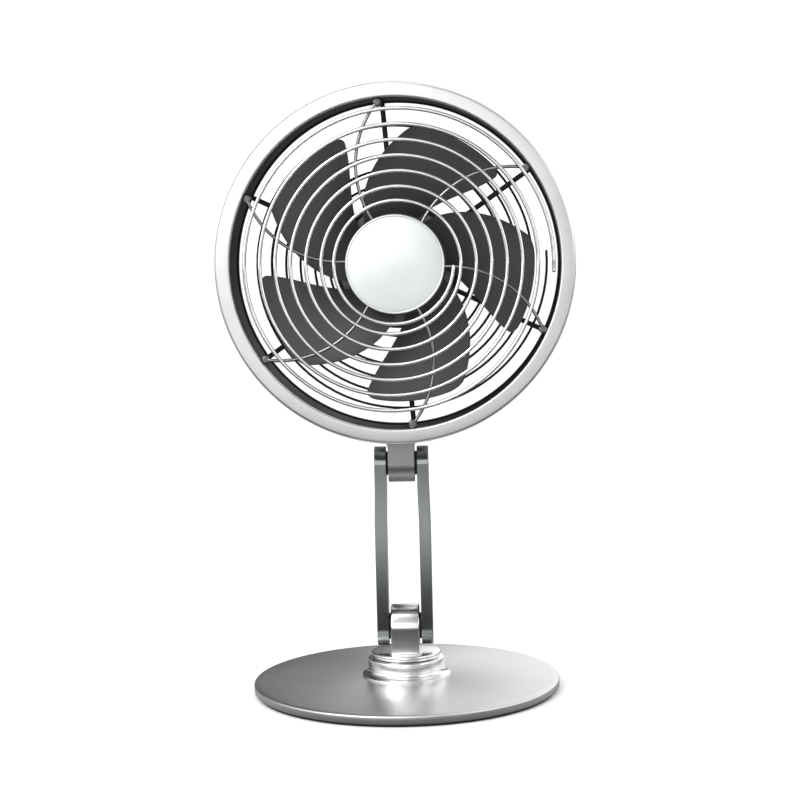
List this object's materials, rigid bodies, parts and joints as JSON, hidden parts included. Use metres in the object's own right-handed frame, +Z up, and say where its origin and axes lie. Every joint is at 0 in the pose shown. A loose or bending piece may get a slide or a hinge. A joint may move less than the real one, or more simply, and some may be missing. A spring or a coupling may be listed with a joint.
{
  "type": "desk fan",
  "caption": "Round desk fan with a metal drum head, spiral wire guards and wide dark blades, on a twin-arm folding neck that swivels on a heavy disc base.",
  "frame": {"origin": "centre of the underside of the base disc, on the surface the fan stands on", "axes": "+Z up, -Y the way the fan blows, X along the two hinge pins"},
  "size_m": [0.2174, 0.1934, 0.3774],
  "materials": {
    "satin_silver": "satin anodised silver",
    "bright_wire": "bright satin wire",
    "polished_metal": "polished",
    "brushed_base": "brushed, satin",
    "arm_metal": "dark satin anodised",
    "bracket_metal": "satin",
    "dark_blade": "matt dark grey",
    "black_plastic": "fine matt black",
    "black_wire": "black powder coat",
    "black_rubber": "matt",
    "motor_metal": "dark cast",
    "core_steel": "laminated",
    "copper_wire": "enamelled",
    "board_green": "solder mask",
    "fastener_steel": "plated",
    "nylon": "natural"
  },
  "bodies": {
    "base": {"base_plate": "brushed_base", "base_pad": "black_rubber", "swivel_collar": "polished_metal", "collar_screws": "fastener_steel", "slip_washer": "nylon", "wave_washer": "fastener_steel"},
    "turntable": {"swivel_disc": "polished_metal", "swivel_nut": "fastener_steel", "turntable_bolt": "fastener_steel", "knuckle_block": "polished_metal"},
    "arms": {"left_arm": "arm_metal", "right_arm": "arm_metal", "lower_pin": "fastener_steel", "upper_pin": "fastener_steel", "lower_disc_springs": "fastener_steel", "upper_disc_springs": "fastener_steel", "lower_pin_nut": "fastener_steel", "upper_pin_nut": "fastener_steel", "lower_friction_washers": "black_plastic", "upper_friction_washers": "black_plastic", "arm_caps": "arm_metal"},
    "head": {"head_bracket": "bracket_metal", "bracket_screws": "fastener_steel", "drum_shell": "satin_silver", "bezel_ring": "satin_silver", "duct_liner": "black_plastic", "front_guard_spiral": "bright_wire", "front_guard_spokes": "bright_wire", "guard_screws": "fastener_steel", "hub_cap": "satin_silver", "hub_clamp": "black_plastic", "clamp_screws": "fastener_steel", "rear_frame": "black_plastic", "rear_guard_spiral": "black_wire", "motor_case": "motor_metal", "motor_screws": "fastener_steel", "stator_core": "core_steel", "stator_coils": "copper_wire", "front_bearing": "fastener_steel", "rear_bearing": "fastener_steel", "rear_cover": "black_plastic", "cover_screws": "fastener_steel", "control_board": "board_green", "power_inlet": "fastener_steel", "speed_pot": "black_plastic"},
    "rotor": {"motor_shaft": "fastener_steel", "rotor_magnet": "core_steel", "impeller_hub": "dark_blade", "hub_nut": "fastener_steel", "blade_1": "dark_blade", "blade_2": "dark_blade", "blade_3": "dark_blade", "blade_4": "dark_blade", "blade_5": "dark_blade"},
    "knob": {"speed_knob": "satin_silver"}
  },
  "joints": [
    {"name": "base_swivel", "type": "hinge", "parent": "base", "child": "turntable", "pos_m": [0, 0, 0.0212], "axis": [0, 0, 1], "range_deg": [-90, 90]},
    {"name": "arm_tilt", "type": "hinge", "parent": "turntable", "child": "arms", "pos_m": [0, 0, 0.04], "axis": [1, 0, 0], "range_deg": [-30, 45]},
    {"name": "head_tilt", "type": "hinge", "parent": "arms", "child": "head", "pos_m": [0, 0, 0.1438], "axis": [-1, 0, 0], "range_deg": [-30, 75]},
    {"name": "fan_spin", "type": "hinge", "parent": "head", "child": "rotor", "pos_m": [0, 0, 0.2687], "axis": [0, 1, 0], "continuous": true},
    {"name": "knob_turn", "type": "hinge", "parent": "head", "child": "knob", "pos_m": [0, 0.047, 0.2687], "axis": [0, 1, 0], "range_deg": [0, 270]}
  ]
}
